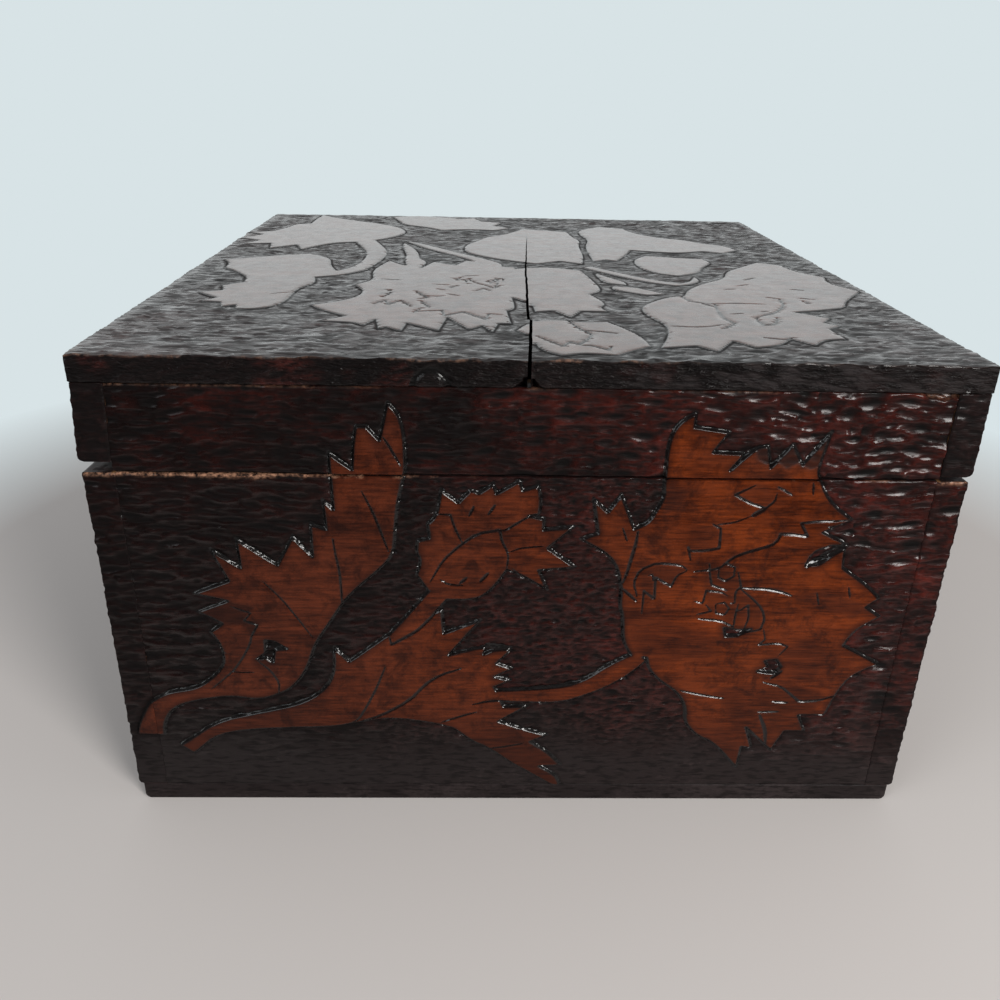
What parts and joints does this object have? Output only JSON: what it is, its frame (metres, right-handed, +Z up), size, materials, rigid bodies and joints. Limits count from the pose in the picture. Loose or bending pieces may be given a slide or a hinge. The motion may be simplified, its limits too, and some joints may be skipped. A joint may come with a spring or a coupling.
{
  "type": "pyrography box",
  "caption": "Hinged rectangular wooden box with a raised-rim lid, carved and burnt with leaves and flowers on the lid and the front.",
  "frame": {"origin": "centre of the bounding box, on the surface the box stands on", "axes": "+X to the right seen from the front, +Y to the back (hinge side), +Z up; the carved front looks along -Y"},
  "size_m": [0.2547, 0.2844, 0.1542],
  "materials": {
    "wood_carved": "satin",
    "wood_dark": "satin",
    "brass": "satin",
    "iron": "matte"
  },
  "bodies": {
    "body": {"front_board": "wood_carved", "back_board": "wood_dark", "left_board": "wood_dark", "right_board": "wood_dark", "base_board": "wood_dark", "hinge_left_body_leaf": "brass", "hinge_left_pin": "brass", "hinge_right_body_leaf": "brass", "hinge_right_pin": "brass", "hinge_body_screws": "brass", "body_corner_brads": "iron", "base_brads": "iron"},
    "lid": {"lid_top": "wood_carved", "lid_front_rail": "wood_carved", "lid_back_rail": "wood_dark", "lid_left_rail": "wood_dark", "lid_right_rail": "wood_dark", "hinge_left_lid_leaf": "brass", "hinge_right_lid_leaf": "brass", "hinge_lid_screws": "brass", "lid_corner_brads": "iron", "lid_top_brads": "iron"}
  },
  "joints": [
    {"name": "lid_hinge", "type": "hinge", "parent": "body", "child": "lid", "pos_m": [0, 0.1402, 0.1192], "axis": [-1, 0, 0], "range_deg": [0, 180]}
  ]
}
